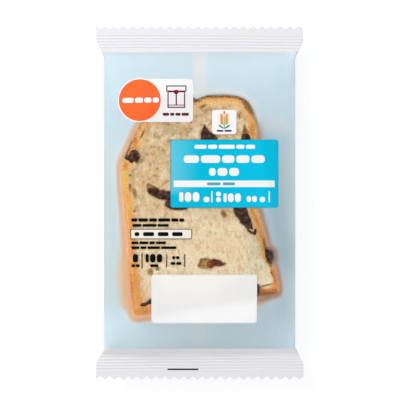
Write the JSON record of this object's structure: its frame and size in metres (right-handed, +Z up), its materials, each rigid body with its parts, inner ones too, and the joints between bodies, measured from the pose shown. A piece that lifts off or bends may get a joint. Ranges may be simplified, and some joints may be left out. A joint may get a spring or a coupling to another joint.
{
  "type": "bag of raisin bread slices",
  "caption": "Sealed frosted film bag, crimped at both ends, holding raisin bread slices, lying on its back.",
  "frame": {"origin": "on the table, under the middle of the bag's box", "axes": "+X towards the bag's right, +Y towards its top end, +Z up, out of its printed front"},
  "size_m": [0.1466, 0.25, 0.0313],
  "materials": {
    "film": "translucent frosted film with a soft sheen",
    "seal": "milky film, crimped in fine ridges and cut in a zigzag",
    "back_print": "pale blue printed film",
    "crumb": "open, matte cream bread crumb",
    "crust": "golden brown baked crust with a faint gloss",
    "raisin": "dark, moist, wrinkled dried fruit",
    "label_print": "opaque printed ink, cyan, white, orange and black"
  },
  "bodies": {
    "root": {"bag": "film"}
  },
  "joints": []
}
